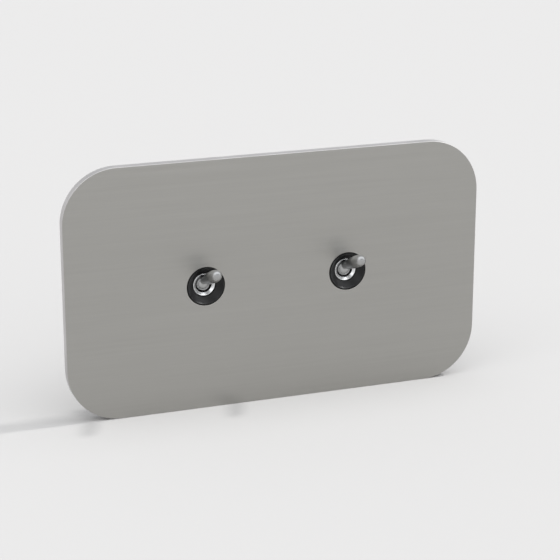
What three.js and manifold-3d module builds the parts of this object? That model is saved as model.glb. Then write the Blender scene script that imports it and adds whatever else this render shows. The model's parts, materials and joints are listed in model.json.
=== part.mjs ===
// Two-gang bat-lever toggle wall switch: one thick brushed metal face plate, clamped by two
// dished dress nuts to a stamped frame, with a complete change-over toggle switch behind each lever.
//
// Frame: millimetres. +X to the viewer's right, +Y into the wall, +Z up. The origin is the centre
// of the stamped frame's back face, which lies on the wall surface. The levers point along -Y.
import * as THREE from "three";
import { mergeVertices } from "three/addons/utils/BufferGeometryUtils.js";
import Module from "manifold-3d";

const wasm = await Module();
wasm.setup();

// ---------------------------------------------------------------- driving dimensions
const PLATE_W = 147, PLATE_H = 86, PLATE_T = 3.4, PLATE_R = 18.5; // double face plate
const FACE_Y = -5.2; // front of the face plate
const TOGGLE_X = 25.4; // each lever's distance from the centre line
const HOLE_R = 6.65, HOLE_THROAT_R = 5.55; // countersunk hole in the face plate
const NUT_R = 6.4, NUT_SKIRT_R = 5.1, NUT_BORE_R = 4.05; // dress nut
const RING_Y = -3.3; // front end of the threaded bushing, 1.9 below the face
const THREAD_R = 3.83, BORE_R = 3.1, LIP_R = 2.85; // bushing
const FRAME_W = 138, FRAME_H = 78, FRAME_T = 1.5, FRAME_R = 12;
const SEAL_W = 144, SEAL_H = 83, SEAL_R = 17;
const BOX_SCREW_X = 60.3; // half of the 120.6 box-fixing centres
const PIVOT_Y = -0.7; // lever pivot axis, along X
const LEVER_TILT = 22.67; // each side of straight out, degrees
const BALL_R = 2.8, TIP_R = 1.95, TIP_S = 17.35; // lever ball, tip radius and tip centre's distance from the pivot
const BAT_RISE = 0.35; // how far the bat's axis lies above the ball's centre
const CUP_R = 1.75, CUP_BORE_R = 1.25, PLUNGER_R = 1.0, PLUNGER_END = 14.0;
const ROCKER_Y = 15.0, ROCKER_TILT = 9; // rocker contact's pivot and tilt each side
const CASE_X = 7, CASE_Z = 10.8, CASE_Y0 = 4.7, CASE_Y1 = 28.8;
const TERMINAL_Z = 7.2, WIRE_Y = 23.7;

// ---------------------------------------------------------------- shape helpers
const rad = THREE.MathUtils.degToRad;

// A closed three.js geometry as a manifold solid.
function solid(geometry) {
  const g = geometry.index ? geometry.toNonIndexed() : geometry.clone();
  const only = new THREE.BufferGeometry().setAttribute("position", g.getAttribute("position"));
  const merged = mergeVertices(only, 1e-4);
  const index = [];
  for (let i = 0; i < merged.index.count; i += 3) {
    const [a, b, c] = [0, 1, 2].map((k) => merged.index.getX(i + k));
    if (a !== b && b !== c && c !== a) index.push(a, b, c);
  }
  const build = (triVerts) =>
    new wasm.Manifold(
      new wasm.Mesh({ numProp: 3, vertProperties: merged.attributes.position.array, triVerts: new Uint32Array(triVerts) }),
    );
  const made = build(index);
  if (made.volume() > 0) return made;
  for (let i = 0; i < index.length; i += 3) [index[i + 1], index[i + 2]] = [index[i + 2], index[i + 1]];
  return build(index);
}

function geometryOf(s) {
  const m = s.getMesh(), n = m.numProp, v = new Float32Array(m.numVert * 3);
  for (let i = 0; i < m.numVert; i++) v.set(m.vertProperties.subarray(i * n, i * n + 3), i * 3);
  const g = new THREE.BufferGeometry();
  g.setAttribute("position", new THREE.BufferAttribute(v, 3));
  g.setIndex(new THREE.BufferAttribute(new Uint32Array(m.triVerts), 1));
  g.computeVertexNormals();
  return g;
}

// A body of revolution about Y. profile is [radius, y] pairs, closed on itself or on the axis.
function turned(profile, segments = 32) {
  const points = profile.map(([r, y]) => new THREE.Vector2(r, y));
  if (profile[0][0] > 0) points.push(points[0].clone());
  return solid(new THREE.LatheGeometry(points, segments));
}

function block(x0, x1, y0, y1, z0, z1) {
  return solid(new THREE.BoxGeometry(x1 - x0, y1 - y0, z1 - z0).translate((x0 + x1) / 2, (y0 + y1) / 2, (z0 + z1) / 2));
}

// A round bar: along Y by default, or along X.
function bar(r, a, b, { x = 0, y = 0, z = 0, along = "y", segments = 24 } = {}) {
  const g = new THREE.CylinderGeometry(r, r, b - a, segments);
  if (along === "x") g.rotateZ(Math.PI / 2).translate((a + b) / 2, y, z);
  else g.translate(x, (a + b) / 2, z);
  return solid(g);
}

function roundedOutline(w, h, r, n) {
  const points = [];
  for (const [sx, sz, from] of [[1, 1, 0], [-1, 1, 90], [-1, -1, 180], [1, -1, 270]])
    for (let i = 0; i <= n; i++) {
      const a = rad(from + (90 * i) / n);
      points.push(new THREE.Vector2(sx * (w / 2 - r) + r * Math.cos(a), sz * (h / 2 - r) + r * Math.sin(a)));
    }
  return points;
}

// An outline in X and Z, as a plate from y0 to y1.
function plate(points, y0, y1, hole) {
  const shape = new THREE.Shape(points);
  if (hole) shape.holes.push(new THREE.Path(hole));
  const g = new THREE.ExtrudeGeometry(shape, { depth: y1 - y0, bevelEnabled: false, steps: 1 });
  return solid(g.rotateX(Math.PI / 2).translate(0, y1, 0));
}

// An outline in Y and Z, as a prism from x0 to x1.
function prism(points, x0, x1) {
  const shape = new THREE.Shape(points.map(([y, z]) => new THREE.Vector2(y, z)));
  const g = new THREE.ExtrudeGeometry(shape, { depth: x1 - x0, bevelEnabled: false, steps: 1 });
  const turn = new THREE.Matrix4().makeBasis(new THREE.Vector3(0, 1, 0), new THREE.Vector3(0, 0, 1), new THREE.Vector3(1, 0, 0));
  return solid(g.applyMatrix4(turn).translate(x0, 0, 0));
}

// The outline of a bent strip of even thickness, from its middle line.
function strip(line, t) {
  const left = [], right = [];
  line.forEach(([a, b], i) => {
    const before = line[Math.max(0, i - 1)], after = line[Math.min(line.length - 1, i + 1)];
    const n = (p, q) => new THREE.Vector2(-(q[1] - p[1]), q[0] - p[0]).normalize();
    const n0 = i ? n(before, [a, b]) : n([a, b], after), n1 = i < line.length - 1 ? n([a, b], after) : n0;
    const m = n0.clone().add(n1).normalize();
    const reach = t / 2 / Math.max(0.5, m.dot(n1));
    left.push([a + m.x * reach, b + m.y * reach]);
    right.unshift([a - m.x * reach, b - m.y * reach]);
  });
  return [...left, ...right];
}

function union(...parts) {
  return parts.reduce((a, b) => a.add(b));
}

function cut(body, ...tools) {
  return tools.reduce((a, b) => a.subtract(b), body);
}

const FINISH = {
  brushed_steel: { color: 0x9b9a96, roughness: 0.38, metalness: 1 },
  black_anodised: { color: 0x1c1c1d, roughness: 0.5, metalness: 0.2 },
  chrome: { color: 0xd9dadb, roughness: 0.12, metalness: 1 },
  satin_nickel: { color: 0xa9a9a7, roughness: 0.3, metalness: 1 },
  zinc_steel: { color: 0xb4b8ba, roughness: 0.4, metalness: 1 },
  brass: { color: 0xc2a25a, roughness: 0.3, metalness: 1 },
  copper: { color: 0xb8744f, roughness: 0.35, metalness: 1 },
  phenolic: { color: 0x1f2022, roughness: 0.55, metalness: 0 },
  nylon: { color: 0xe6e2d6, roughness: 0.5, metalness: 0 },
  rubber: { color: 0x17181a, roughness: 0.9, metalness: 0 },
};

function mesh(name, body, finish, parent) {
  const m = new THREE.Mesh(geometryOf(body), new THREE.MeshStandardMaterial(FINISH[finish]));
  m.name = name;
  parent.add(m);
  return m;
}

// ---------------------------------------------------------------- shared pieces
const product = new THREE.Group();

// Face plate: solid metal with rounded corners and two countersunk holes.
const countersink = (segments) =>
  turned([[0, FACE_Y - 1], [HOLE_R, FACE_Y - 1], [HOLE_R, FACE_Y + 0.45], [HOLE_THROAT_R, FACE_Y + 1.7], [HOLE_THROAT_R, 1], [0, 1]], segments);
const faceBlank = plate(roundedOutline(PLATE_W, PLATE_H, PLATE_R, 14), FACE_Y, FACE_Y + PLATE_T);
mesh("face_plate", cut(faceBlank, countersink(36).translate([-TOGGLE_X, 0, 0]), countersink(36).translate([TOGGLE_X, 0, 0])), "brushed_steel", product);

// Seal ring: fills the shadow gap between the face plate and the wall, round the frame.
mesh("wall_seal", plate(roundedOutline(SEAL_W, SEAL_H, SEAL_R, 9), -FRAME_T, 0, roundedOutline(FRAME_W + 0.8, FRAME_H + 0.8, FRAME_R + 0.4, 7)), "rubber", product);

// Frame: flat stamping with drawn cups for the box screws, two stiffening beads, a hole for each switch
// and a raised pad in the middle that rests on the wall.
let frame = union(plate(roundedOutline(FRAME_W, FRAME_H, FRAME_R, 7), -FRAME_T, -0.25), block(-9, 9, -0.5, 0, -15, 12.5));
for (const x of [-BOX_SCREW_X, BOX_SCREW_X])
  frame = union(frame, turned([[0, -0.4], [5.4, -0.4], [5.0, 2.2], [0, 2.2]], 20).translate([x, 0, 0]));
for (const z of [-29.5, 29.5]) {
  for (const s of [-1, 1])
    frame = union(frame, prism([[-0.5, z - 2.6], [-0.5, z + 2.6], [0.9, z + 1.5], [0.9, z - 1.5]], s > 0 ? 10 : -46, s > 0 ? 46 : -10));
}
for (const z of [-29.5, 29.5])
  for (const s of [-1, 1])
    frame = cut(frame, prism([[-2, z - 1.8], [-2, z + 1.8], [-0.3, z + 0.9], [-0.3, z - 0.9]], s > 0 ? 12 : -44, s > 0 ? 44 : -12));
for (const x of [-BOX_SCREW_X, BOX_SCREW_X]) {
  frame = cut(frame, turned([[0, -2], [4.1, -2], [3.9, 0.95], [0, 0.95]], 20).translate([x, 0, 0]));
  const slot = union(bar(1.9, 0, 4, { x: x - 1, segments: 16 }), bar(1.9, 0, 4, { x: x + 1, segments: 16 }), block(x - 1, x + 1, 0, 4, -1.9, 1.9));
  frame = cut(frame, slot);
}
for (const x of [-TOGGLE_X, TOGGLE_X]) frame = cut(frame, bar(4.2, -3, 2, { x, segments: 24 }));
for (const x of [-62, 62]) for (const z of [-31, 31]) frame = cut(frame, bar(1.6, -3, 2, { x, z, segments: 12 }));
frame = cut(frame, bar(1.7, -3, 2, { x: 0, z: -22, segments: 16 }));
mesh("mounting_frame", frame, "zinc_steel", product);

// Box screws: pan heads sunk in the frame's cups.
function boxScrew() {
  const body = turned([[0, -1.2], [2.3, -1.2], [3.0, -0.75], [3.15, -0.1], [3.15, 0.65], [1.62, 0.65], [1.62, 23.2], [1.0, 24.2], [0, 24.2]], 16);
  return cut(body, block(-0.42, 0.42, -2, -0.15, -1.9, 1.9), block(-1.9, 1.9, -2, -0.15, -0.42, 0.42));
}
for (const [name, x] of [["box_screw_left", -BOX_SCREW_X], ["box_screw_right", BOX_SCREW_X]]) mesh(name, boxScrew(), "zinc_steel", product).position.x = x;

// Slotted terminal screw, head towards +Y. Its shank ends at y0 and its head's seat is at y1.
function clampScrew(y0, y1, r = 1.15, head = 2.25) {
  return cut(turned([[0, y0], [r - 0.25, y0], [r, y0 + 0.3], [r, y1], [head, y1], [head, y1 + 0.9], [head - 0.35, y1 + 1.35], [0, y1 + 1.35]], 14), block(-3, 3, y1 + 0.65, y1 + 3, -0.35, 0.35));
}

// Earth clamp: brass pillar on the frame's back with its own screw.
const earth = new THREE.Group();
earth.position.z = -22;
product.add(earth);
mesh(
  "earth_terminal",
  cut(union(block(-3.4, 3.4, 0.3, 7.2, -3.2, 3.2), bar(1.4, -1.3, 1, { segments: 14 })), bar(1.6, -5, 5, { y: 3.5, along: "x", segments: 14 }), bar(1.45, 3.5, 8, { segments: 14 })),
  "brass",
  earth,
);
mesh("earth_screw", clampScrew(4.4, 7.4), "brass", earth);

// ---------------------------------------------------------------- one toggle switch
// side is -1 for the left switch and 1 for the right one: the wire ports face the plate's end.
function toggleSwitch(label, side) {
  const unit = new THREE.Group();
  unit.position.x = side * TOGGLE_X;
  product.add(unit);

  // Dress nut: dished front, flush with the face, conical seat in the face plate's countersink.
  mesh(
    "dress_nut_" + label,
    turned(
      [[NUT_R, FACE_Y], [NUT_BORE_R, RING_Y - 0.1], [NUT_BORE_R, -2.1], [NUT_SKIRT_R, -2.1], [NUT_SKIRT_R, FACE_Y + 1.75], [NUT_SKIRT_R + 0.25, FACE_Y + 1.5], [NUT_R, FACE_Y + 0.4]],
      32,
    ),
    "black_anodised",
    unit,
  );

  // Threaded bushing with a 45 degree mouth, a lip in front of the ball, a flared throat for the lever's
  // tail and a rear flange.
  const bushing = turned(
    [[THREAD_R - 0.2, RING_Y], [THREAD_R, RING_Y + 0.2], [THREAD_R, 4.7], [5.8, 4.7], [5.8, 5.7], [4.3, 5.7], [BORE_R, 2.9], [BORE_R, -1.5], [LIP_R, -2.1], [LIP_R, RING_Y + 0.7], [LIP_R + 0.7, RING_Y]],
    28,
  );
  mesh("bushing_" + label, cut(bushing, bar(0.8, -4.5, 4.5, { y: PIVOT_Y, along: "x", segments: 12 })), "chrome", unit);

  // Lock washer with outward teeth, then the hex jam nut behind the frame.
  const teeth = [];
  for (let i = 0; i < 12; i++)
    for (const [da, r] of [[-10, 5.5], [-6, 6.7], [4, 6.7], [8, 5.5]]) {
      const a = rad(i * 30 + da);
      teeth.push(new THREE.Vector2(r * Math.cos(a), r * Math.sin(a)));
    }
  mesh("lock_washer_" + label, cut(plate(teeth, 0.25, 0.8), bar(4.15, -1, 2, { segments: 20 })), "zinc_steel", unit);
  const hex = [0, 1, 2, 3, 4, 5].map((i) => new THREE.Vector2(6.35 * Math.cos(rad(60 * i)), 6.35 * Math.sin(rad(60 * i))));
  const rounding = turned([[0, 1.1], [5.6, 1.1], [6.5, 1.6], [6.5, 2.6], [5.6, 3.1], [0, 3.1]], 18);
  mesh("jam_nut_" + label, cut(plate(hex, 1.1, 3.1).intersect(rounding), bar(4.1, 0, 4, { segments: 20 })), "zinc_steel", unit);

  // Bracket: steel strap over the case, with a tab on each leg that hooks into the case.
  let bracket = block(-6.6, 6.6, 3.4, 4.4, -11.9, 11.9);
  for (const s of [-1, 1]) {
    const z0 = Math.min(s * 11.1, s * 11.9), z1 = Math.max(s * 11.1, s * 11.9);
    bracket = union(bracket, block(-5, 5, 3.6, 17.3, z0, z1), block(-2.8, 2.8, 16.5, 17.3, Math.min(s * 10.2, s * 11.6), Math.max(s * 10.2, s * 11.6)));
  }
  mesh("bracket_" + label, cut(bracket, bar(4.2, 2, 6, { segments: 20 })), "zinc_steel", unit);

  // Case: mechanism chamber open to the front, three terminal chambers open to the rear.
  let housing = cut(
    block(-CASE_X, CASE_X, CASE_Y0, CASE_Y1, -CASE_Z, CASE_Z),
    block(-5.2, 5.2, CASE_Y0 - 1, 19, -9.2, 9.2),
    bar(6.2, CASE_Y0 - 1, 6.1, { segments: 24 }),
  );
  for (const z of [-TERMINAL_Z, 0, TERMINAL_Z]) {
    housing = cut(housing, block(-3.1, 3.1, 20.3, CASE_Y1 + 1, z - 2.95, z + 2.95), block(-1.9, 1.9, 18, 21, z - 1.9, z + 1.9));
    housing = cut(housing, bar(1.9, side > 0 ? 2.5 : -8, side > 0 ? 8 : -2.5, { y: WIRE_Y, z, along: "x", segments: 14 }));
  }
  for (const s of [-1, 1]) housing = cut(housing, block(-3.3, 3.3, 16.1, 17.8, Math.min(s * 9.9, s * 12), Math.max(s * 9.9, s * 12)));
  mesh("case_" + label, housing, "phenolic", unit);

  // Terminals: pillar clamps in the rear chambers. The outer two carry fixed contacts, the middle one the rocker's cradle.
  const pillar = (z) =>
    cut(
      union(block(-2.8, 2.8, 20.6, 26.8, z - 2.65, z + 2.65), block(-1.5, 1.5, 18.6, 21, z - 1.5, z + 1.5)),
      bar(1.45, -4, 4, { y: WIRE_Y, z, along: "x", segments: 14 }),
      bar(1.45, WIRE_Y, 28, { z, segments: 14 }),
    );
  for (const [name, z] of [["terminal_upper_", TERMINAL_Z], ["terminal_lower_", -TERMINAL_Z]])
    mesh(name + label, union(pillar(z), bar(1.4, 17.95, 19, { z, segments: 14 })), "brass", unit);
  const ears = cut(
    union(block(-3.3, -2.4, 14.4, 18.4, -1.7, 1.7), block(2.4, 3.3, 14.4, 18.4, -1.7, 1.7), block(-3.3, 3.3, 18, 18.8, -1.7, 1.7)),
    bar(0.92, -4, 4, { y: ROCKER_Y, along: "x", segments: 16 }),
    block(-4, 4, 13, ROCKER_Y, -0.9, 0.9),
  );
  mesh("terminal_common_" + label, union(pillar(0), ears), "brass", unit);
  for (const [name, z] of [["terminal_screw_upper_", TERMINAL_Z], ["terminal_screw_common_", 0], ["terminal_screw_lower_", -TERMINAL_Z]])
    mesh(name + label, clampScrew(24.5, 27), "zinc_steel", unit).position.z = z;

  // Rocker contact, cradled on the middle terminal and tipped by the lever's plunger.
  const rocker = new THREE.Group();
  rocker.position.y = ROCKER_Y;
  rocker.rotation.x = rad(ROCKER_TILT);
  unit.add(rocker);
  const half = [[-1.08, 1.4], [-1.42, 2.6], [-2.02, 3.95], [-2.75, 5.2], [-2.95, 5.75], [0.2, 6.6], [0.2, 8.6]];
  const line = [...half.map(([y, z]) => [y, -z]).reverse(), [-0.95, 0], ...half];
  mesh(
    "rocker_contact_" + label,
    union(prism(strip(line, 0.8), -2, 2), bar(0.6, -3.1, 3.1, { along: "x", segments: 12 }), bar(1.0, 0.3, 1.3, { z: -7.3, segments: 14 }), bar(1.0, 0.3, 1.3, { z: 7.3, segments: 14 })),
    "copper",
    rocker,
  );

  // Lever and what it carries. Each piece lies along Y and the group tilts the tip up.
  const swing = new THREE.Group();
  swing.position.y = PIVOT_Y;
  swing.rotation.x = rad(-LEVER_TILT);
  unit.add(swing);
  const tip = [];
  for (let i = 0; i <= 4; i++) {
    const a = rad(90 - 22.5 * i);
    tip.push([TIP_R * Math.cos(a), -TIP_S - TIP_R * Math.sin(a)]);
  }
  const ball = [];
  for (let i = 0; i <= 8; i++) {
    const a = rad(-90 + (159.1 / 8) * i);
    ball.push([BALL_R * Math.cos(a), BALL_R * Math.sin(a)]);
  }
  ball[0][0] = 0;
  const bat = [...tip, [2.1, -14.5], [2.06, -12.0], [1.93, -9.4], [1.7, -6.9], [1.42, -4.8], [1.22, -3.4], [1.22, -1.5], [0, -1.5]];
  const profile = [
    ...ball,
    [1.0, 7.4],
    [CUP_R, 8.0],
    [CUP_R, 12.6],
    [CUP_BORE_R, 12.6],
    [CUP_BORE_R, 8.8],
    [0, 8.8],
  ];
  mesh("lever_" + label, cut(union(turned(profile, 18), turned(bat, 18).translate([0, 0, BAT_RISE])), bar(0.8, -3.4, 3.4, { along: "x", segments: 12 })), "satin_nickel", swing);
  mesh("pivot_pin_" + label, bar(0.56, -3.7, 3.7, { along: "x", segments: 12 }), "zinc_steel", swing);
  const nose = [];
  for (let i = 0; i <= 4; i++) {
    const a = rad(22.5 * i);
    nose.push([PLUNGER_R * Math.cos(a), PLUNGER_END - PLUNGER_R + PLUNGER_R * Math.sin(a)]);
  }
  nose[4][0] = 0;
  mesh("plunger_" + label, turned([[0, 11.4], [PLUNGER_R, 11.4], ...nose], 14), "nylon", swing);
  const turns = 4, coil = [];
  for (let i = 0; i <= turns * 8; i++) coil.push(new THREE.Vector3(0.84 * Math.cos(rad(45 * i)), 9.25 + (1.75 * i) / (turns * 8), 0.84 * Math.sin(rad(45 * i))));
  const wire = new THREE.Shape([0, 1, 2, 3, 4].map((i) => new THREE.Vector2(0.16 * Math.cos(rad(72 * i)), 0.16 * Math.sin(rad(72 * i)))));
  mesh("plunger_spring_" + label, solid(new THREE.ExtrudeGeometry(wire, { steps: turns * 8, extrudePath: new THREE.CatmullRomCurve3(coil), bevelEnabled: false })), "zinc_steel", swing);
}

toggleSwitch("left", -1);
toggleSwitch("right", 1);

export default product;
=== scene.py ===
import json
import math

import bmesh
import bpy
import numpy as np
from mathutils import Matrix, Vector

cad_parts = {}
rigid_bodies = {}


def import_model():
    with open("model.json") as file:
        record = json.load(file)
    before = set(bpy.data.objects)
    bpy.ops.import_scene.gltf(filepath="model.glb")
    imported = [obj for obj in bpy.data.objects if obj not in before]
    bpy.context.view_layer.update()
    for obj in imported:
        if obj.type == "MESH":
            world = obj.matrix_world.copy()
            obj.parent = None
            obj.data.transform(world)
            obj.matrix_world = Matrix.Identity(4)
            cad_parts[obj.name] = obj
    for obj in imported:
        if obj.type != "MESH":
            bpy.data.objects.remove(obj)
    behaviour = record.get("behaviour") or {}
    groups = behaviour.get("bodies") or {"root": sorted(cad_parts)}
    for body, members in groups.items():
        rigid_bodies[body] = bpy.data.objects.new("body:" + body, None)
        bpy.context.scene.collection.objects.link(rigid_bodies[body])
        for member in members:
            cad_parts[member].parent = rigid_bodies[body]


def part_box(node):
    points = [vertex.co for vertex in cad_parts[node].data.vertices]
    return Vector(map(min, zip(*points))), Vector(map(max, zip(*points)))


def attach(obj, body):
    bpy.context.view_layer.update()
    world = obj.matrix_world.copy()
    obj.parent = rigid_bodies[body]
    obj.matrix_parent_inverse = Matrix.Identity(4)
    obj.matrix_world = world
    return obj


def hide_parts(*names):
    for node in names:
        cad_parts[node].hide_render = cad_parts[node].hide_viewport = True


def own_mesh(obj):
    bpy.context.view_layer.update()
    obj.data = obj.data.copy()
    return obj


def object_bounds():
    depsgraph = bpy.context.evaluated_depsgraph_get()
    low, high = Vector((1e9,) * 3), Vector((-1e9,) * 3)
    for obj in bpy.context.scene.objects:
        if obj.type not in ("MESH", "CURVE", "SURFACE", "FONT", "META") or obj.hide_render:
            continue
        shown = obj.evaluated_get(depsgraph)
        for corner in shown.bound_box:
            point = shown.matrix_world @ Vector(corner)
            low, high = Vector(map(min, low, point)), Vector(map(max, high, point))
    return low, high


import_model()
cad_bounds = [list(v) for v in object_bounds()]
scene = bpy.context.scene
MM = 0.001


def cad(node):
    """A CAD node's lowest and highest corners in millimetres."""
    lo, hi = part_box(node)
    return Vector(lo) / MM, Vector(hi) / MM


# ------------------------------------------------------------------ dimensions, millimetres
plate_lo, plate_hi = cad("face_plate")
PLATE_W, PLATE_H = plate_hi.x - plate_lo.x, plate_hi.z - plate_lo.z
FACE_Y, BACK_Y = plate_lo.y, plate_hi.y
PLATE_R = 18.5
SIDES = {}
for label in ("left", "right"):
    lo, hi = cad("dress_nut_" + label)
    SIDES[label] = (lo.x + hi.x) / 2
PIVOT_Y, TILT = -0.7, 22.67
ROCKER_Y, ROCKER_TILT = 15.0, 9.0
BOX_SCREW_X = 60.3
FRAME_W, FRAME_H, FRAME_R = 138.0, 78.0, 12.0
TERMINAL_Z, WIRE_Y = 7.2, 23.7
WORLD, KEY, TOP = 0.8, 1.45, 1.75  # light strengths


# ------------------------------------------------------------------ mesh helpers
def new_object(verts, faces, name="work"):
    mesh = bpy.data.meshes.new(name)
    mesh.from_pydata([tuple(map(float, v)) for v in verts], [], [list(f) for f in faces])
    ob = bpy.data.objects.new(name, mesh)
    scene.collection.objects.link(ob)
    tidy(ob)
    return ob


def tidy(ob, dist=1e-5):
    bm = bmesh.new()
    bm.from_mesh(ob.data)
    bmesh.ops.remove_doubles(bm, verts=bm.verts, dist=dist)
    bmesh.ops.recalc_face_normals(bm, faces=bm.faces)
    if bm.calc_volume(signed=True) < 0:
        bmesh.ops.reverse_faces(bm, faces=bm.faces)
    bm.to_mesh(ob.data)
    bm.free()


def fillet(points, segs=4, closed=True):
    """Rounds the corners of an outline. Each point is (a, b) or (a, b, radius)."""
    out, n = [], len(points)
    for i, p in enumerate(points):
        r = p[2] if len(p) > 2 else 0
        if r <= 0 or (not closed and i in (0, n - 1)):
            out.append((p[0], p[1]))
            continue
        a, b, c = (np.array(points[k][:2], float) for k in (i - 1, i, (i + 1) % n))
        u, v = a - b, c - b
        lu, lv = np.linalg.norm(u), np.linalg.norm(v)
        u, v = u / lu, v / lv
        angle = math.acos(max(-1, min(1, float(u @ v))))
        if angle > math.pi - 1e-3:
            out.append(tuple(b))
            continue
        d = min(r / math.tan(angle / 2), 0.49 * lu, 0.49 * lv)
        r = d * math.tan(angle / 2)
        start, end = b + u * d, b + v * d
        centre = b + (u + v) / np.linalg.norm(u + v) * (r / math.sin(angle / 2))
        a0, a1 = math.atan2(*(start - centre)[::-1]), math.atan2(*(end - centre)[::-1])
        while a1 - a0 > math.pi:
            a1 -= 2 * math.pi
        while a1 - a0 < -math.pi:
            a1 += 2 * math.pi
        for k in range(segs + 1):
            t = a0 + (a1 - a0) * k / segs
            out.append((centre[0] + r * math.cos(t), centre[1] + r * math.sin(t)))
    return out


def lathe(profile, segs=96, thread=None):
    """Revolves (radius, y) or (radius, y, amplitude) points about Y. thread = (pitch, depth) cuts a helical groove where amplitude is over 0."""
    verts, rows = [], []
    for p in profile:
        r, y = p[0], p[1]
        amp = p[2] if len(p) > 2 else 0.0
        if r < 1e-6:
            rows.append([len(verts)])
            verts.append((0, y, 0))
            continue
        row = []
        for i in range(segs):
            t = 2 * math.pi * i / segs
            rr = r
            if thread and amp > 0:
                phase = (y / thread[0] - i / segs) % 1.0
                rr = r - amp * thread[1] * (1 - abs(2 * phase - 1))
            row.append(len(verts))
            verts.append((rr * math.cos(t), y, rr * math.sin(t)))
        rows.append(row)
    faces = []
    pairs = list(zip(rows, rows[1:]))
    if len(rows[0]) > 1:
        pairs.append((rows[-1], rows[0]))
    for a, b in pairs:
        if len(a) == 1 and len(b) == 1:
            continue
        for i in range(segs):
            j = (i + 1) % segs
            if len(a) == 1:
                faces.append((a[0], b[i], b[j]))
            elif len(b) == 1:
                faces.append((a[i], b[0], a[j]))
            else:
                faces.append((a[i], b[i], b[j], a[j]))
    return new_object(verts, faces)


def thread_rows(r, y0, y1, pitch, fade=0.6, per_turn=8):
    """Profile rows for a threaded stretch, with the groove fading in and out at its ends."""
    n = max(2, int(round(abs(y1 - y0) / pitch * per_turn)))
    rows = []
    for i in range(n + 1):
        y = y0 + (y1 - y0) * i / n
        amp = min(1.0, abs(y - y0) / (fade * pitch), abs(y1 - y) / (fade * pitch))
        rows.append((r, y, max(0.0, amp)))
    return rows


def rounded_rect(w, h, r, n):
    points = []
    for sx, sz, start in ((1, 1, 0), (-1, 1, 90), (-1, -1, 180), (1, -1, 270)):
        for i in range(n + 1):
            a = math.radians(start + 90 * i / n)
            points.append((sx * (w / 2 - r) + r * math.cos(a), sz * (h / 2 - r) + r * math.sin(a)))
    return points


def rect_loft(loops, n=32, ring=False):
    """Joins rounded rectangles given as (width, height, corner radius, y). A ring closes on itself, anything else is capped."""
    verts, rows = [], []
    for w, h, r, y in loops:
        pts = rounded_rect(w, h, max(r, 0.01), n)
        rows.append(range(len(verts), len(verts) + len(pts)))
        verts += [(x, y, z) for x, z in pts]
    faces = []
    pairs = list(zip(rows, rows[1:]))
    if ring:
        pairs.append((rows[-1], rows[0]))
    else:
        faces += [list(rows[0]), list(rows[-1])[::-1]]
    for a, b in pairs:
        m = len(a)
        faces += [(a[i], a[(i + 1) % m], b[(i + 1) % m], b[i]) for i in range(m)]
    return new_object(verts, faces)


def prism(outline, lo, hi, along="x"):
    """Extrudes an outline in (y, z) along X, or in (x, z) along Y."""
    n = len(outline)
    put = (lambda a, b, t: (t, a, b)) if along == "x" else (lambda a, b, t: (a, t, b))
    verts = [put(a, b, lo) for a, b in outline] + [put(a, b, hi) for a, b in outline]
    faces = [list(range(n)), list(range(n, 2 * n))[::-1]]
    faces += [(i, (i + 1) % n, n + (i + 1) % n, n + i) for i in range(n)]
    return new_object(verts, faces)


def block(x0, x1, y0, y1, z0, z1):
    return prism([(x0, z0), (x1, z0), (x1, z1), (x0, z1)], y0, y1, "y")


def rod(r, lo, hi, along="y", x=0.0, y=0.0, z=0.0, segs=48):
    pts = [(r * math.cos(2 * math.pi * i / segs), r * math.sin(2 * math.pi * i / segs)) for i in range(segs)]
    if along == "x":
        return prism([(y + a, z + b) for a, b in pts], lo, hi, "x")
    return prism([(x + a, z + b) for a, b in pts], lo, hi, "y")


def bake_modifiers(ob):
    bpy.context.view_layer.update()
    graph = bpy.context.evaluated_depsgraph_get()
    mesh = bpy.data.meshes.new_from_object(ob.evaluated_get(graph), preserve_all_data_layers=True, depsgraph=graph)
    ob.modifiers.clear()
    old = ob.data
    ob.data = mesh
    bpy.data.meshes.remove(old)
    return ob


def combine(ob, tools, operation="DIFFERENCE"):
    for tool in tools:
        m = ob.modifiers.new("bool", "BOOLEAN")
        m.operation = operation
        m.solver = "EXACT"
        m.object = tool
    bake_modifiers(ob)
    for tool in tools:
        data = tool.data
        bpy.data.objects.remove(tool)
        bpy.data.meshes.remove(data)
    return ob


def bevel(ob, width, segs=2, angle=30):
    m = ob.modifiers.new("bevel", "BEVEL")
    m.width = width
    m.segments = segs
    m.limit_method = "ANGLE"
    m.angle_limit = math.radians(angle)
    m.use_clamp_overlap = True
    m.miter_outer = "MITER_ARC"
    return bake_modifiers(ob)


def shade(ob, angle=38):
    """Smooth faces, sharp edges over the angle, flat faces kept flat by area-weighted normals."""
    bm = bmesh.new()
    bm.from_mesh(ob.data)
    bmesh.ops.remove_doubles(bm, verts=bm.verts, dist=2e-4)
    bmesh.ops.dissolve_degenerate(bm, edges=bm.edges, dist=1e-4)
    for f in bm.faces:
        f.smooth = True
    for e in bm.edges:
        e.smooth = e.calc_face_angle(0.0) < math.radians(angle) if len(e.link_faces) == 2 else False
    bm.to_mesh(ob.data)
    bm.free()
    m = ob.modifiers.new("normals", "WEIGHTED_NORMAL")
    m.mode = "FACE_AREA"
    m.weight = 50
    m.keep_sharp = True
    return bake_modifiers(ob)


def place(ob, name, material, body, nodes=(), at=None, angle=38, parent=None):
    """Finishes a piece: its place in millimetres, its scale in metres, its material and the body it rides on."""
    shade(ob, angle)
    if at is not None:
        ob.data.transform(at)
    ob.data.transform(Matrix.Scale(MM, 4))
    ob.name = name
    ob.data.name = name
    ob.data.materials.clear()
    for m in material if isinstance(material, (list, tuple)) else [material]:
        ob.data.materials.append(m)
    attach(ob, body)
    if nodes:
        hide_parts(*nodes)
    return ob


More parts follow.
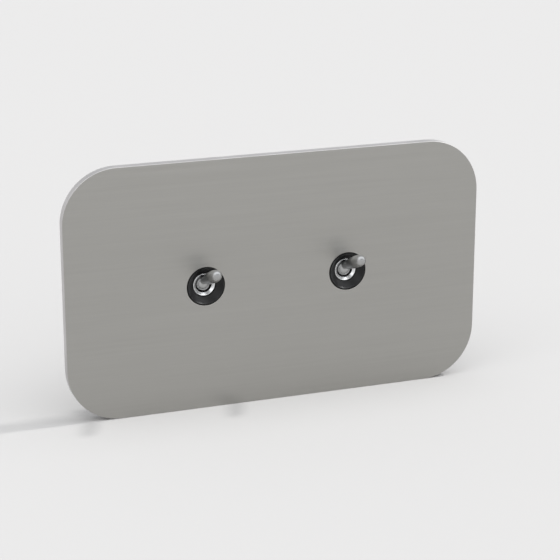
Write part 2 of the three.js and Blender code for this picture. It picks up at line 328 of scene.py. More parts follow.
def plane_uv(ob, scale=10.0):
    """UV map in X and Z, so a brushed surface has a direction along X."""
    layer = ob.data.uv_layers.new(name="grain")
    co = np.empty(len(ob.data.vertices) * 3)
    ob.data.vertices.foreach_get("co", co)
    co = co.reshape(-1, 3)
    idx = np.empty(len(ob.data.loops), dtype=np.int64)
    ob.data.loops.foreach_get("vertex_index", idx)
    uv = co[idx][:, [0, 2]] * scale
    # keep the side walls from collapsing to a line
    uv[:, 1] += co[idx][:, 1] * scale * 0.37
    uv[:, 0] += co[idx][:, 1] * scale * 0.11
    layer.data.foreach_set("uv", uv.astype(np.float32).ravel())


# ------------------------------------------------------------------ materials
class Nodes:
    def __init__(self, name):
        self.mat = bpy.data.materials.new(name)
        self.mat.use_nodes = True
        self.tree = self.mat.node_tree
        self.bsdf = self.tree.nodes["Principled BSDF"]
        self.coords = None

    def add(self, kind, **settings):
        node = self.tree.nodes.new(kind)
        for k, v in settings.items():
            if k in node.inputs and not hasattr(type(node), k):
                node.inputs[k].default_value = v
            else:
                setattr(node, k, v)
        return node

    def link(self, a, b):
        self.tree.links.new(a, b)

    def position(self, scale):
        if self.coords is None:
            self.coords = self.add("ShaderNodeTexCoord")
        m = self.add("ShaderNodeMapping")
        m.inputs["Scale"].default_value = scale
        self.link(self.coords.outputs["Object"], m.inputs["Vector"])
        return m.outputs["Vector"]

    def noise(self, scale=(1, 1, 1), detail=3.0, rough=0.5, size=1.0, distort=0.0):
        n = self.add("ShaderNodeTexNoise")
        n.inputs["Scale"].default_value = size
        n.inputs["Detail"].default_value = detail
        n.inputs["Roughness"].default_value = rough
        n.inputs["Distortion"].default_value = distort
        self.link(self.position(scale), n.inputs["Vector"])
        return n.outputs["Fac"]

    def remap(self, value, lo, hi, from_lo=0.3, from_hi=0.7):
        m = self.add("ShaderNodeMapRange")
        m.clamp = True
        self.link(value, m.inputs["Value"])
        for key, v in (("From Min", from_lo), ("From Max", from_hi), ("To Min", lo), ("To Max", hi)):
            m.inputs[key].default_value = v
        return m.outputs["Result"]

    def mix(self, value, a, b):
        m = self.add("ShaderNodeMix")
        m.data_type = "RGBA"
        self.link(value, m.inputs["Factor"])
        colour = [s for s in m.inputs if s.type == "RGBA"]
        colour[0].default_value = (*a, 1)
        colour[1].default_value = (*b, 1)
        return [s for s in m.outputs if s.type == "RGBA"][0]

    def math(self, op, a, b):
        m = self.add("ShaderNodeMath", operation=op)
        for socket, v in zip(m.inputs, (a, b)):
            if isinstance(v, (int, float)):
                socket.default_value = v
            else:
                self.link(v, socket)
        return m.outputs["Value"]

    def bump(self, height, strength, distance, after=None):
        b = self.add("ShaderNodeBump")
        b.inputs["Strength"].default_value = strength
        b.inputs["Distance"].default_value = distance
        self.link(height, b.inputs["Height"])
        if after is not None:
            self.link(after, b.inputs["Normal"])
        return b.outputs["Normal"]

    def set(self, **values):
        names = {"base": "Base Color", "rough": "Roughness", "metal": "Metallic", "normal": "Normal", "spec": "Specular IOR Level", "aniso": "Anisotropic", "coat": "Coat Weight", "coat_rough": "Coat Roughness", "ior": "IOR", "sheen": "Sheen Weight", "tangent": "Tangent"}
        for k, v in values.items():
            socket = self.bsdf.inputs[names[k]]
            if isinstance(v, bpy.types.NodeSocket):
                self.link(v, socket)
            elif isinstance(v, tuple):
                socket.default_value = (*v, 1)
            else:
                socket.default_value = v
        return self.mat


def brushed_plate():
    n = Nodes("brushed_plate")
    broad = n.noise((16, 40, 900), detail=4, rough=0.6)
    fine = n.noise((45, 120, 5200), detail=3, rough=0.6)
    hair = n.noise((70, 300, 14000), detail=2, rough=0.5)
    cloud = n.noise((14, 14, 20), detail=2, rough=0.5)
    streak = n.math("ADD", n.math("MULTIPLY", broad, 0.5), n.math("MULTIPLY", fine, 0.5))
    tone = n.math("ADD", n.math("MULTIPLY", streak, 0.8), n.math("MULTIPLY", cloud, 0.2))
    n.set(base=n.mix(n.remap(tone, 0, 1, 0.35, 0.65), (0.366, 0.361, 0.342), (0.392, 0.386, 0.368)))
    n.set(rough=n.remap(streak, 0.30, 0.40, 0.35, 0.65), metal=1.0)
    tangent = n.add("ShaderNodeTangent", direction_type="UV_MAP", uv_map="grain")
    n.set(aniso=0.55, tangent=tangent.outputs["Tangent"])
    n.set(normal=n.bump(n.math("ADD", fine, hair), 0.08, 0.00002))
    return n.mat


def plate_edge():
    n = Nodes("plate_cut_edge")
    lines = n.noise((90, 2600, 90), detail=3, rough=0.6)
    cloud = n.noise((120, 120, 120), detail=2, rough=0.5)
    n.set(base=n.mix(n.remap(cloud, 0, 1), (0.460, 0.450, 0.447), (0.515, 0.505, 0.502)), rough=n.remap(lines, 0.30, 0.42), metal=1.0)
    n.set(normal=n.bump(lines, 0.06, 0.00002))
    return n.mat


def black_anodised():
    n = Nodes("black_collar")
    speck = n.noise((5200, 5200, 5200), detail=2, rough=0.6)
    cloud = n.noise((420, 420, 420), detail=3, rough=0.6)
    n.set(base=n.mix(n.remap(cloud, 0, 1), (0.0065, 0.0065, 0.0068), (0.0105, 0.0105, 0.0105)))
    n.set(rough=n.remap(speck, 0.30, 0.40), metal=0.0, spec=0.24)
    n.set(normal=n.bump(speck, 0.12, 0.00001))
    return n.mat


def plated(name, a, b, r0, r1, grain=(1500, 1500, 1500), strength=0.05, cloud=240):
    n = Nodes(name)
    fine = n.noise(grain, detail=3, rough=0.55)
    patch = n.noise((cloud, cloud, cloud), detail=3, rough=0.6)
    n.set(base=n.mix(n.remap(patch, 0, 1), a, b), rough=n.remap(fine, r0, r1), metal=1.0)
    n.set(normal=n.bump(fine, strength, 0.00001))
    return n.mat


def zinc():
    n = Nodes("zinc_steel")
    spangle = n.add("ShaderNodeTexVoronoi")
    spangle.inputs["Scale"].default_value = 1.0
    n.link(n.position((260, 260, 260)), spangle.inputs["Vector"])
    cell = n.add("ShaderNodeSeparateColor")
    n.link(spangle.outputs["Color"], cell.inputs[0])
    roll = n.noise((60, 900, 1800), detail=3, rough=0.6)
    patch = n.noise((55, 55, 55), detail=4, rough=0.6)
    tone = n.math("ADD", n.math("MULTIPLY", cell.outputs[0], 0.35), n.math("MULTIPLY", patch, 0.65))
    n.set(base=n.mix(n.remap(tone, 0, 1, 0.3, 0.75), (0.46, 0.47, 0.48), (0.60, 0.605, 0.60)))
    n.set(rough=n.remap(n.math("ADD", n.math("MULTIPLY", cell.outputs[0], 0.4), n.math("MULTIPLY", roll, 0.6)), 0.30, 0.48), metal=1.0)
    n.set(normal=n.bump(roll, 0.12, 0.00002))
    return n.mat


def moulded(name, a, b, r0, r1, grain=1500, strength=0.15, spec=0.5):
    n = Nodes(name)
    pits = n.noise((grain, grain, grain), detail=3, rough=0.6)
    patch = n.noise((90, 90, 90), detail=4, rough=0.6)
    n.set(base=n.mix(n.remap(patch, 0, 1), a, b), rough=n.remap(pits, r0, r1), metal=0.0, spec=spec)
    n.set(normal=n.bump(pits, strength, 0.00003))
    return n.mat


M = {
    "plate": brushed_plate(),
    "edge": plate_edge(),
    "black": black_anodised(),
    "chrome": plated("chrome", (0.68, 0.685, 0.69), (0.74, 0.745, 0.75), 0.22, 0.28, strength=0.02),
    "lever": plated("satin_lever", (0.385, 0.388, 0.386), (0.435, 0.438, 0.436), 0.28, 0.36, grain=(5200, 5200, 5200), strength=0.06),
    "zinc": zinc(),
    "brass": plated("brass", (0.66, 0.47, 0.20), (0.76, 0.57, 0.28), 0.24, 0.38, strength=0.08),
    "copper": plated("copper", (0.66, 0.34, 0.22), (0.76, 0.44, 0.30), 0.26, 0.40, strength=0.08),
    "silver": plated("silver_contact", (0.78, 0.78, 0.76), (0.86, 0.86, 0.84), 0.20, 0.30),
    "phenolic": moulded("phenolic", (0.016, 0.016, 0.018), (0.026, 0.026, 0.028), 0.36, 0.52),
    "nylon": moulded("nylon", (0.70, 0.67, 0.58), (0.78, 0.76, 0.68), 0.38, 0.5, strength=0.06),
    "rubber": moulded("rubber", (0.018, 0.018, 0.019), (0.03, 0.03, 0.031), 0.72, 0.9, grain=2600, strength=0.3, spec=0.3),
    "steel": plated("bright_steel", (0.50, 0.505, 0.51), (0.60, 0.60, 0.60), 0.22, 0.34),
}


# ------------------------------------------------------------------ shared pieces
def build_face_plate():
    e = 0.22
    loops = []
    for k in range(5):
        a = math.radians(90 * k / 4)
        d = e * (1 - math.sin(a))
        loops.append((PLATE_W - 2 * d, PLATE_H - 2 * d, PLATE_R - d, BACK_Y - e * (1 - math.cos(a))))
    e = 0.12
    for k in range(5):
        a = math.radians(90 * k / 4)
        d = e * (1 - math.cos(a))
        loops.append((PLATE_W - 2 * d, PLATE_H - 2 * d, PLATE_R - d, FACE_Y + e * (1 - math.sin(a))))
    ob = rect_loft(loops, n=40)
    tools = []
    for x in SIDES.values():
        hole = lathe([(0, -8), (6.78, -8), (6.78, FACE_Y), (6.7, FACE_Y + 0.04), (6.65, FACE_Y + 0.14), (6.65, -4.75), (5.55, -3.5), (5.55, 0), (0, 0)], segs=128)
        hole.data.transform(Matrix.Translation((x, 0, 0)))
        tools.append(hole)
    combine(ob, tools)
    place(ob, "face_plate_brushed", (M["plate"], M["edge"]), "switch_body", ["face_plate"], angle=30)
    for f in ob.data.polygons:
        c = f.center / MM
        if abs(f.normal.y) < 0.9 and FACE_Y < c.y < BACK_Y and max(abs(c.x) / (PLATE_W / 2), abs(c.z) / (PLATE_H / 2)) > 0.75:
            f.material_index = 1
    plane_uv(ob)


def build_wall_seal():
    lo, hi = cad("wall_seal")
    w, h = hi.x - lo.x, hi.z - lo.z
    y0, y1 = lo.y, hi.y
    outer = [(0.35, y0), (0.08, y0 + 0.12), (0, y0 + 0.4), (0, y1 - 0.4), (0.08, y1 - 0.12), (0.35, y1)]
    inner = [(2.25, y1), (2.5, y1 - 0.15), (2.6, y1 - 0.4), (2.6, y0 + 0.4), (2.5, y0 + 0.15), (2.25, y0)]
    # two shallow sealing grooves in the face that meets the wall
    groove = [(0.8, y1), (0.95, y1 - 0.25), (1.15, y1 - 0.25), (1.3, y1), (1.5, y1), (1.65, y1 - 0.25), (1.85, y1 - 0.25), (2.0, y1)]
    loops = [(w - 2 * d, h - 2 * d, 17 - d, y) for d, y in outer + groove + inner]
    ob = rect_loft(loops, n=24, ring=True)
    place(ob, "wall_seal_ring", M["rubber"], "switch_body", ["wall_seal"], angle=30)


def build_frame():
    t0, t1 = -1.5, -0.25
    e = 0.15
    loops = [(FRAME_W - 2 * d, FRAME_H - 2 * d, FRAME_R - d, y) for d, y in ((e, t1), (0.05, t1 - 0.05), (0, t1 - e), (0, t0 + e), (0.05, t0 + 0.05), (e, t0))]
    ob = rect_loft(loops, n=16)
    adds = [rect_loft([(17.4, 26.9, 1.2, 0.0), (18.0, 27.5, 1.5, -0.12), (18.0, 27.5, 1.5, -0.8)], n=8)]
    adds[0].data.transform(Matrix.Translation((0, 0, -1.25)))
    for x in (-BOX_SCREW_X, BOX_SCREW_X):
        cup = lathe(fillet([(0, -0.9), (6.4, -0.9), (6.4, -0.25), (5.5, -0.25, 0.7), (5.05, 2.2, 0.45), (0, 2.2)], segs=5, closed=False), segs=64)
        cup.data.transform(Matrix.Translation((x, 0, 0)))
        adds.append(cup)
    beads = [(10, 46), (-46, -10)]
    for z in (-29.5, 29.5):
        for a, b in beads:
            w, h = b - a, 5.2
            bead = rect_loft([(w, h, 2.58, -0.9), (w, h, 2.58, -0.26), (w - 0.5, h - 0.5, 2.3, -0.15), (w - 1.6, h - 1.6, 1.75, 0.72), (w - 2.2, h - 2.2, 1.45, 0.9)], n=10)
            bead.data.transform(Matrix.Translation(((a + b) / 2, 0, z)))
            adds.append(bead)
    combine(ob, adds, "UNION")
    cuts = []
    for x in (-BOX_SCREW_X, BOX_SCREW_X):
        well = lathe(fillet([(0, -2), (4.9, -2), (4.6, -1.49), (4.1, -1.1, 0.4), (3.9, 0.95, 0.25), (0, 0.95)], segs=4, closed=False), segs=64)
        well.data.transform(Matrix.Translation((x, 0, 0)))
        slot = prism([(x + px, pz) for px, pz in rounded_rect(5.8, 3.8, 1.899, 12)], 0, 4, "y")
        cuts += [well, slot]
    for z in (-29.5, 29.5):
        for a, b in beads:
            w = b - a - 3.6
            bead = rect_loft([(w, 3.6, 1.79, -2), (w, 3.6, 1.79, -1.4), (w - 1.2, 2.4, 1.19, -0.42), (w - 1.6, 2.0, 0.99, -0.3)], n=8)
            bead.data.transform(Matrix.Translation(((a + b) / 2, 0, z)))
            cuts.append(bead)
    for x in SIDES.values():
        cuts.append(rod(4.2, -3, 2, x=x, segs=72))
    for x in (-62, 62):
        for z in (-31, 31):
            cuts.append(rod(1.6, -3, 2, x=x, z=z, segs=36))
    cuts.append(rod(1.7, -3, 2, z=-22, segs=36))
    combine(ob, cuts)
    place(ob, "mounting_frame_pressed", M["zinc"], "switch_body", ["mounting_frame"], angle=35)


def cross_recess(y, r, depth):
    a = block(-0.36, 0.36, y - 1, y + depth, -r, r)
    b = block(-r, r, y - 1, y + depth, -0.36, 0.36)
    return [a, b, lathe([(0, y - 1), (0.75, y - 1), (0.75, y), (0.35, y + depth + 0.25), (0, y + depth + 0.35)], segs=24)]


def build_box_screw(label, x):
    head = fillet([(0, -1.2), (2.35, -1.2, 0.8), (3.15, -0.35, 0.5), (3.15, 0.65, 0.08), (1.7, 0.65, 0.1), (1.62, 1.0)], segs=5, closed=False)
    rows = thread_rows(1.62, 1.2, 23.2, 0.6)
    tip = [(1.3, 23.6), (0.95, 24.15), (0.6, 24.2), (0, 24.2)]
    ob = lathe(head + rows + tip, segs=40, thread=(0.6, 0.32))
    combine(ob, cross_recess(-1.2, 1.75, 1.0))
    place(ob, "box_screw_" + label + "_pan", M["steel"], "switch_body", ["box_screw_" + label], at=Matrix.Translation((x, 0, 0)), angle=32)


def clamp_screw(y0, y1, r=1.15, head=2.25):
    """Slotted cheese head screw: shank from y0, head seat at y1, head towards +Y."""
    start = [(0, y0), (r - 0.4, y0), (r - 0.05, y0 + 0.3)]
    rows = thread_rows(r, y0 + 0.35, y1 - 0.15, 0.45)
    cap = fillet([(r, y1 - 0.05), (r, y1), (head, y1, 0.06), (head, y1 + 1.0, 0.35), (0, y1 + 1.35)], segs=4, closed=False)
    ob = lathe(start + rows + cap, segs=40, thread=(0.45, 0.22))
    return combine(ob, [block(-3, 3, y1 + 0.65, y1 + 3, -0.35, 0.35)])


def pillar(x0, x1, y0, y1, z0, z1, wire_y, wire_r, screw_r, ports, bev=0.22):
    ob = block(x0, x1, y0, y1, z0, z1)
    ob = bevel(ob, bev, 3)
    cx, cz = (x0 + x1) / 2, (z0 + z1) / 2
    funnel = [(0, ports[0] - 2)]
    ob = combine(ob, [rod(wire_r, x0 - 2, x1 + 2, "x", y=wire_y, z=cz, segs=40), rod(screw_r, wire_y, y1 + 2, x=cx, z=cz, segs=40)])
    return ob


def build_earth():
    body = pillar(-3.4, 3.4, 0.3, 7.2, -3.2, 3.2, 3.5, 1.6, 1.45, (0, 0))
    rivet = lathe(fillet([(0, -1.45), (1.3, -1.45, 0.2), (1.4, -1.0), (1.4, 0.6), (0, 0.6)], segs=3, closed=False), segs=36)
    combine(body, [rivet], "UNION")
    place(body, "earth_terminal_pillar", M["brass"], "switch_body", ["earth_terminal"], at=Matrix.Translation((0, 0, -22)))
    place(clamp_screw(4.4, 7.4), "earth_screw_slotted", M["brass"], "switch_body", ["earth_screw"], at=Matrix.Translation((0, 0, -22)), angle=32)


# ------------------------------------------------------------------ one toggle switch
def build_switch(label, x):
    side = -1 if x < 0 else 1
    here = Matrix.Translation((x, 0, 0))
    body = "switch_body"

    # dress nut: narrow front land, dished face, conical seat
    dish = [(6.18, FACE_Y)]
    for k in range(1, 12):
        t = k / 12
        dish.append((6.18 + (4.2 - 6.18) * t, FACE_Y + (1.68 * t) + 0.16 * math.sin(math.pi * t)))
    ring = [(6.4, FACE_Y + 0.08), (6.37, FACE_Y + 0.02), (6.3, FACE_Y)] + dish + [(4.14, -3.5), (4.07, -3.43), (4.05, -3.34), (4.05, -2.1), (5.1, -2.1), (5.1, FACE_Y + 1.75), (5.35, FACE_Y + 1.5), (6.4, FACE_Y + 0.4)]
    ob = lathe(ring, segs=160)
    place(ob, "dress_nut_" + label + "_dished", M["black"], body, ["dress_nut_" + label], at=here, angle=30)

    # bushing: rounded bright rim, threaded barrel, rear flange
    rim = fillet([(3.1, 2.9), (3.1, -1.5, 0.3), (2.86, -2.05, 0.2), (2.86, -2.5, 0.15), (3.64, -3.28, 0.1), (3.83, -3.24, 0.12), (3.83, -2.9)], segs=6, closed=False)
    rows = thread_rows(3.83, -2.85, 4.5, 0.7, per_turn=8)
    rear = fillet([(3.83, 4.6), (3.83, 4.7), (5.8, 4.7, 0.15), (5.8, 5.7, 0.15), (4.3, 5.7, 0.1)], segs=3, closed=False)
    ob = lathe(rim + rows + rear, segs=120, thread=(0.7, 0.26))
    combine(ob, [rod(0.8, -4.5, 4.5, "x", y=PIVOT_Y, segs=24)])
    place(ob, "bushing_" + label + "_threaded", M["chrome"], body, ["bushing_" + label], at=here, angle=35)

    # lock washer with outward teeth
    teeth = []
    for i in range(12):
        for da, r in ((-10.5, 5.45), (-6.5, 6.68), (-1, 6.7), (4.5, 6.68), (8.5, 5.45), (14, 5.4)):
            a = math.radians(i * 30 + da)
            teeth.append((r * math.cos(a), r * math.sin(a)))
    ob = prism(teeth, 0.25, 0.8, "y")
    combine(ob, [rod(4.15, -1, 2, segs=64)])
    bevel(ob, 0.08, 2)
    place(ob, "lock_washer_" + label + "_toothed", M["zinc"], body, ["lock_washer_" + label], at=here)

    # jam nut: hexagon chamfered on both faces
    hexagon = [(6.35 * math.cos(math.radians(60 * i)), 6.35 * math.sin(math.radians(60 * i))) for i in range(6)]
    ob = prism(hexagon, 1.1, 3.1, "y")
    combine(ob, [lathe([(0, 1.1), (5.55, 1.1), (6.4, 1.55), (6.4, 2.65), (5.55, 3.1), (0, 3.1)], segs=96)], "INTERSECT")
    combine(ob, [lathe([(0, 0), (4.35, 0), (4.35, 1.1), (4.1, 1.35), (4.1, 2.85), (4.35, 3.1), (4.35, 4), (0, 4)], segs=72)])
    bevel(ob, 0.06, 2, 25)
    place(ob, "jam_nut_" + label + "_hex", M["zinc"], body, ["jam_nut_" + label], at=here, angle=30)

    # bracket: bent strap, legs narrower than the bridge, tabs hooked into the case
    half = [(3.4, 0), (3.4, 11.9, 1.1), (17.3, 11.9, 0.85), (17.3, 10.2, 0.1), (16.5, 10.2, 0.1), (16.5, 11.1, 0.12), (4.4, 11.1, 0.35), (4.4, 0)]
    outline = half[1:-1] + [(p[0], -p[1], p[2]) for p in reversed(half[1:-1])]
    ob = prism(fillet(outline, segs=6), -6.6, 6.6, "x")
    cuts = [rod(4.2, 2, 6, segs=72)]
    for s in (-1, 1):
        a, b = sorted((s * 5, s * 9))
        cuts.append(block(a, b, 5.4, 20, -13, 13))
        a, b = sorted((s * 2.8, s * 9))
        cuts.append(block(a, b, 16.2, 20, -11.08, 11.08))
    combine(ob, cuts)
    bevel(ob, 0.08, 2, 40)
    place(ob, "bracket_" + label + "_strap", M["zinc"], body, ["bracket_" + label], at=here, angle=35)

    # case: moulded block with its chambers, ports and a parting groove
    lo, hi = cad("case_" + label)
    cz, y0, y1 = hi.z, lo.y, hi.y
    ob = block(-7, 7, y0, y1, -cz, cz)
    bevel(ob, 0.5, 4)
    groove = [rect_loft([(15, 2 * cz + 1, 1.0, 19.55), (15, 2 * cz + 1, 1.0, 19.95)], n=4)]
    core = rect_loft([(13.7, 2 * cz - 0.3, 0.5, 19), (13.7, 2 * cz - 0.3, 0.5, 21)], n=4)
    combine(groove[0], [core])
    cuts = groove + [block(-5.2, 5.2, y0 - 1, 19, -9.2, 9.2), rod(6.2, y0 - 1, 6.1, segs=72)]
    for z in (-TERMINAL_Z, 0, TERMINAL_Z):
        cuts.append(rect_loft([(6.2, 5.9, 0.5, 20.3), (6.2, 5.9, 0.5, y1 - 0.45), (6.8, 6.3, 0.7, y1 + 0.15), (6.8, 6.3, 0.7, y1 + 1)], n=4))
        cuts[-1].data.transform(Matrix.Translation((0, 0, z)))
        cuts.append(block(-1.9, 1.9, 18, 21, z - 1.9, z + 1.9))
        port = lathe([(0, 0), (1.9, 0), (1.9, 5.2), (2.35, 5.95), (2.35, 7), (0, 7)], segs=48)
        port.data.transform(Matrix.Translation((0, WIRE_Y, z)) @ Matrix.Rotation(math.radians(-90 * side), 4, "Z") @ Matrix.Translation((0, 1.25, 0)))
        cuts.append(port)
    for s in (-1, 1):
        a, b = sorted((s * 9.9, s * 12))
        cuts.append(block(-3.3, 3.3, 16.1, 17.8, a, b))
    combine(ob, cuts)
    place(ob, "case_" + label + "_moulded", M["phenolic"], body, ["case_" + label], at=here, angle=35)

    # fixed terminals with silver contact faces, and the cradle on the middle one
    for part, z in (("upper", TERMINAL_Z), ("lower", -TERMINAL_Z)):
        ob = pillar(-2.8, 2.8, 20.6, 26.8, z - 2.65, z + 2.65, WIRE_Y, 1.45, 1.45, (0, 0))
        stem = bevel(block(-1.5, 1.5, 18.6, 21.2, z - 1.5, z + 1.5), 0.12, 2)
        combine(ob, [stem], "UNION")
        place(ob, "terminal_" + part + "_" + label + "_pillar", M["brass"], body, ["terminal_" + part + "_" + label], at=here)
        dome = lathe(fillet([(0, 17.95), (1.1, 18.0, 0.5), (1.4, 18.25, 0.15), (1.4, 18.75), (0, 18.75)], segs=4, closed=False), segs=48)
        place(dome, "fixed_contact_" + part + "_" + label, M["silver"], body, at=here @ Matrix.Translation((0, 0, z)))
    ob = pillar(-2.8, 2.8, 20.6, 26.8, -2.65, 2.65, WIRE_Y, 1.45, 1.45, (0, 0))
    stem = bevel(block(-1.5, 1.5, 18.4, 21.2, -1.5, 1.5), 0.12, 2)
    cradle = prism(fillet([(18.8, -1.7), (18.8, 1.7), (15.4, 1.7, 0.5), (14.4, 1.0, 0.3), (14.4, -1.0, 0.3), (15.4, -1.7, 0.5)], segs=4), -3.3, 3.3, "x")
    combine(cradle, [block(-2.4, 2.4, 13, 18, -3, 3), rod(0.92, -4, 4, "x", y=ROCKER_Y, segs=40), block(-4, 4, 13, ROCKER_Y, -0.9, 0.9)])
    bevel(cradle, 0.08, 2, 40)
    combine(ob, [stem, cradle], "UNION")
    place(ob, "terminal_common_" + label + "_cradle", M["brass"], body, ["terminal_common_" + label], at=here)
    for part, z in (("upper", TERMINAL_Z), ("common", 0), ("lower", -TERMINAL_Z)):
        place(clamp_screw(24.5, 27), "terminal_screw_" + part + "_" + label + "_slotted", M["steel"], body, ["terminal_screw_" + part + "_" + label], at=here @ Matrix.Translation((0, 0, z)), angle=32)

    # rocker contact: bent strip on its axle, with silver buttons
    half = [(-1.08, 1.4), (-1.42, 2.6), (-2.02, 3.95), (-2.75, 5.2), (-2.95, 5.75), (0.2, 6.6), (0.2, 8.6)]
    line = [(y, -z) for y, z in reversed(half)] + [(-0.95, 0)] + half
    left, right = [], []
    for i, p in enumerate(line):
        p = np.array(p, float)
        q0 = np.array(line[max(0, i - 1)], float)
        q1 = np.array(line[min(len(line) - 1, i + 1)], float)
        normals = [np.array((-(b - a)[1], (b - a)[0])) / np.linalg.norm(b - a) for a, b in ((q0, p), (p, q1)) if np.linalg.norm(b - a) > 0]
        m = sum(normals)
        m /= np.linalg.norm(m)
        reach = 0.4 / max(0.5, float(m @ normals[-1]))
        left.append((*(p + m * reach), 0.35))
        right.insert(0, (*(p - m * reach), 0.35))
    ob = prism(fillet(left + right, segs=3), -2, 2, "x")
    bevel(ob, 0.1, 2, 50)
    axle = lathe(fillet([(0, -3.1), (0.6, -3.1, 0.15), (0.6, 3.1, 0.15), (0, 3.1)], segs=3, closed=False), segs=32)
    axle.data.transform(Matrix.Rotation(math.radians(90), 4, "Z"))
    combine(ob, [axle], "UNION")
    rock = Matrix.Translation((x, ROCKER_Y, 0)) @ Matrix.Rotation(math.radians(ROCKER_TILT), 4, "X")
    main = place(ob, "rocker_contact_" + label + "_strip", M["copper"], "rocker_" + label, ["rocker_contact_" + label], at=rock, angle=35)
    for part, z in (("upper", 7.3), ("lower", -7.3)):
        button = lathe(fillet([(0, 1.3), (0.75, 1.28, 0.3), (1.0, 1.05, 0.1), (1.0, 0.5), (0, 0.5)], segs=4, closed=False), segs=40)
        place(button, "moving_contact_" + part + "_" + label, M["silver"], "rocker_" + label, at=rock @ Matrix.Translation((0, 0, z)))

    # lever and what its tail carries
    swing = Matrix.Translation((x, PIVOT_Y, 0)) @ Matrix.Rotation(math.radians(-TILT), 4, "X")
    tip_r, tip_s, ball_r, rise = 1.95, 17.35, 2.8, 0.35
    knots = [(2.4, 1.2), (3.4, 1.21), (4.8, 1.4), (6.9, 1.68), (9.4, 1.91), (12.0, 2.04), (14.5, 2.08), (tip_s, tip_r)]
    ks, kr = np.array([k[0] for k in knots]), np.array([k[1] for k in knots])
    slope = np.gradient(kr, ks)
    slope[0], slope[-1] = 0, 0

    def bat(s):
        i = min(len(ks) - 2, max(0, int(np.searchsorted(ks, s) - 1)))
        h = ks[i + 1] - ks[i]
        t = (s - ks[i]) / h
        return (2 * t**3 - 3 * t**2 + 1) * kr[i] + (t**3 - 2 * t**2 + t) * h * slope[i] + (-2 * t**3 + 3 * t**2) * kr[i + 1] + (t**3 - t**2) * h * slope[i + 1]

    profile = []
    # the tip is a long oval, not a half ball
    cap_s = 16.6
    cap_r, cap_a = float(bat(cap_s)), tip_s + tip_r - cap_s
    for i in range(20):
        a = math.radians(90 - 90 * i / 19)
        profile.append((cap_r * math.cos(a), -cap_s - cap_a * math.sin(a)))
    profile[0] = (0, -tip_s - tip_r)
    for i in range(1, 42):
        s = cap_s + (2.5 - cap_s) * i / 41
        profile.append((float(bat(s)), -s))
    stick = lathe(profile + [(1.2, -1.2), (0, -1.2)], segs=96)
    stick.data.transform(Matrix.Translation((0, 0, rise)))
    profile = []
    for i in range(49):
        a = math.radians(-90 + (90 + 67.5) * i / 48)
        profile.append((max(0.0, ball_r * math.cos(a)) if i else 0.0, ball_r * math.sin(a)))
    profile += fillet([(1.0, 2.75), (1.0, 7.4, 0.4), (1.75, 8.0, 0.25), (1.75, 12.6, 0.12), (1.25, 12.6, 0.08), (1.25, 8.8, 0.2), (0, 8.8)], segs=4, closed=False)
    ob = lathe(profile, segs=96)
    combine(ob, [stick], "UNION")
    combine(ob, [rod(0.8, -3.4, 3.4, "x", segs=32)])
    place(ob, "lever_" + label + "_bat", M["lever"], "lever_" + label, ["lever_" + label], at=swing, angle=40)

    pin = lathe(fillet([(0, -3.7), (0.56, -3.7, 0.12), (0.56, 3.7, 0.12), (0, 3.7)], segs=3, closed=False), segs=32)
    pin.data.transform(Matrix.Rotation(math.radians(90), 4, "Z"))
    place(pin, "pivot_pin_" + label + "_steel", M["steel"], body, ["pivot_pin_" + label], at=swing)

    nose = [(math.cos(math.radians(a)), 13.0 + math.sin(math.radians(a))) for a in range(0, 90, 9)] + [(0, 14.0)]
    ob = lathe(fillet([(0, 11.4), (0.98, 11.4, 0.15), (1.0, 11.9), (1.0, 12.9)], segs=3, closed=False) + nose, segs=48)
    place(ob, "plunger_" + label + "_nosed", M["nylon"], "plunger_" + label, ["plunger_" + label], at=swing)

    turns, steps, sides = 4.0, 26, 12
    total = int(turns * steps)
    verts, faces = [], []
    for i in range(total + 1):
        t = 2 * math.pi * i / steps
        rise = i / total
        y = 9.25 + 1.75 * rise
        c = Vector((0.84 * math.cos(t), y, 0.84 * math.sin(t)))
        along = Vector((-0.84 * math.sin(t), 1.75 / (2 * math.pi * turns), 0.84 * math.cos(t))).normalized()
        out = Vector((math.cos(t), 0, math.sin(t)))
        up = along.cross(out).normalized()
        for k in range(sides):
            a = 2 * math.pi * k / sides
            verts.append(c + 0.16 * (math.cos(a) * out + math.sin(a) * up))
    for i in range(total):
        for k in range(sides):
            a, b = i * sides + k, i * sides + (k + 1) % sides
            faces.append((a, b, b + sides, a + sides))
    faces += [list(range(sides)), list(range(total * sides, (total + 1) * sides))]
    ob = new_object(verts, faces)
    spring = place(ob, "plunger_spring_" + label + "_coil", M["steel"], "lever_" + label, ["plunger_spring_" + label], at=swing, angle=50)
    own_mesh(spring)


build_face_plate()
build_wall_seal()
build_frame()
for label, x in (("left", -BOX_SCREW_X), ("right", BOX_SCREW_X)):
    build_box_screw(label, x)
build_earth()
for label, x in SIDES.items():
    build_switch(label, x)

# ------------------------------------------------------------------ stage, light and camera
floor_z = cad_bounds[0][2]
floor_mesh = bpy.data.meshes.new("floor")
size = 6.0
floor_mesh.from_pydata([(-size, -size, floor_z), (size, -size, floor_z), (size, size, floor_z), (-size, size, floor_z)], [], [(0, 1, 2, 3)])
floor = bpy.data.objects.new("floor", floor_mesh)
scene.collection.objects.link(floor)
paper = Nodes("paper")
paper.set(base=(0.438, 0.431, 0.422), rough=0.95, spec=0.0)
floor_mesh.materials.append(paper.mat)

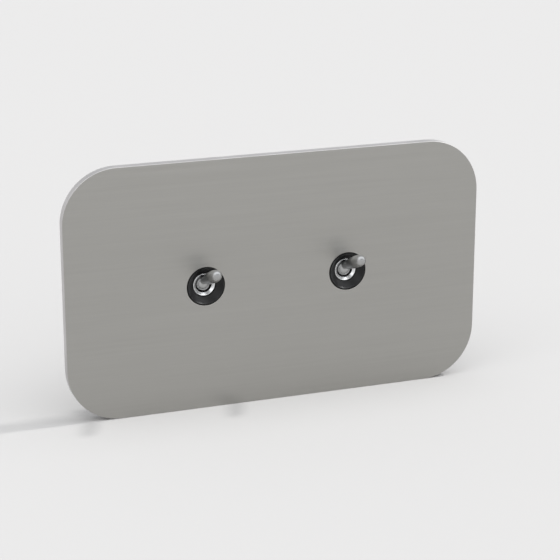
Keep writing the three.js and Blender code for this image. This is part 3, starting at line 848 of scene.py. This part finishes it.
# World: an even pale studio, a little cooler and brighter overhead.
world = bpy.data.worlds.new("studio")
scene.world = world
world.use_nodes = True
wt = world.node_tree
background = wt.nodes["Background"]
coord = wt.nodes.new("ShaderNodeTexCoord")
split = wt.nodes.new("ShaderNodeSeparateXYZ")
wt.links.new(coord.outputs["Generated"], split.inputs[0])
ramp = wt.nodes.new("ShaderNodeValToRGB")
wt.links.new(split.outputs["Z"], ramp.inputs["Fac"])
stops = ramp.color_ramp.elements
stops[0].position, stops[0].color = 0.0, (1.15, 1.15, 1.16, 1)
stops[1].position, stops[1].color = 1.0, (1.05, 1.08, 1.14, 1)
for position, colour in ((0.32, (1.19, 1.19, 1.20, 1)), (0.55, (0.72, 0.735, 0.76, 1))):
    stops.new(position).color = colour

# A long soft box runs overhead from left to right; it draws the broad band on the levers and the bright lower lip of the bushings.
shift = wt.nodes.new("ShaderNodeMath")
shift.operation = "ADD"
shift.inputs[1].default_value = 0.12
wt.links.new(split.outputs["Y"], shift.inputs[0])
fore = wt.nodes.new("ShaderNodeMath")
fore.operation = "ABSOLUTE"
wt.links.new(shift.outputs[0], fore.inputs[0])
masks = []
for source, limits in ((fore.outputs[0], (0.25, 0.50, 1.0, 0.0)), (split.outputs["Z"], (0.20, 0.55, 0.0, 1.0))):
    step = wt.nodes.new("ShaderNodeMapRange")
    step.interpolation_type = "SMOOTHSTEP"
    wt.links.new(source, step.inputs["Value"])
    for name, value in zip(("From Min", "From Max", "To Min", "To Max"), limits):
        step.inputs[name].default_value = value
    masks.append(step.outputs["Result"])
both = wt.nodes.new("ShaderNodeMath")
both.operation = "MULTIPLY"
wt.links.new(masks[0], both.inputs[0])
wt.links.new(masks[1], both.inputs[1])
strip = wt.nodes.new("ShaderNodeMix")
strip.data_type = "RGBA"
strip.blend_type = "ADD"
wt.links.new(both.outputs[0], strip.inputs["Factor"])
wt.links.new(ramp.outputs["Color"], strip.inputs[6])
strip.inputs[7].default_value = (1.15, 1.16, 1.19, 1)
wt.links.new(strip.outputs[2], background.inputs["Color"])
background.inputs["Strength"].default_value = WORLD


def soft_sun(name, energy, angle, direction, colour=(1, 1, 1)):
    light = bpy.data.lights.new(name, "SUN")
    light.energy = energy
    light.angle = math.radians(angle)
    light.color = colour
    ob = bpy.data.objects.new(name, light)
    scene.collection.objects.link(ob)
    ob.rotation_euler = Vector(direction).to_track_quat("Z", "Y").to_euler()
    return ob


elevation = math.radians(48.5)
key_light = soft_sun("key", KEY, 4, (math.cos(elevation), -0.02, math.sin(elevation)))
top_light = soft_sun("top_front", TOP, 115, (0.10, -0.60, 0.79), (0.98, 0.99, 1.0))

# In use everything behind the plate is inside the wall box, so it casts no shadow in the key light.
buried = bpy.data.collections.new("key_light_passes")
for ob in list(scene.objects):
    if ob.type == "MESH" and ob.name.startswith(("case_", "bracket_", "terminal_", "rocker_contact_", "fixed_contact_", "moving_contact_", "jam_nut_", "lock_washer_", "box_screw_", "earth_", "plunger_")):
        buried.objects.link(ob)
for entry in buried.collection_objects:
    entry.light_linking.link_state = "EXCLUDE"
key_light.light_linking.blocker_collection = buried

# The two suns would each leave a round spot on a lever's tip; the levers take their light from the soft box alone.
polished = bpy.data.collections.new("sun_lights_skip")
for ob in list(scene.objects):
    if ob.type == "MESH" and ob.name.startswith("lever_"):
        polished.objects.link(ob)
for entry in polished.collection_objects:
    entry.light_linking.link_state = "EXCLUDE"
key_light.light_linking.receiver_collection = polished
top_light.light_linking.receiver_collection = polished

cam = bpy.data.cameras.new("camera")
cam.sensor_width = 36.0
cam.lens = 115.75
cam.clip_start = 0.01
cam.clip_end = 50
cam_ob = bpy.data.objects.new("camera", cam)
scene.collection.objects.link(cam_ob)
azimuth, pitch, distance = math.radians(-20.218), math.radians(17.144), 0.6078
target = Vector((0.00083, FACE_Y * MM, -0.00058))
offset = Vector((math.sin(azimuth) * math.cos(pitch), -math.cos(azimuth) * math.cos(pitch), math.sin(pitch)))
cam_ob.location = target + offset * distance
cam_ob.rotation_euler = offset.to_track_quat("Z", "Y").to_euler()
scene.camera = cam_ob

scene.view_settings.view_transform = "Standard"
scene.view_settings.look = "None"
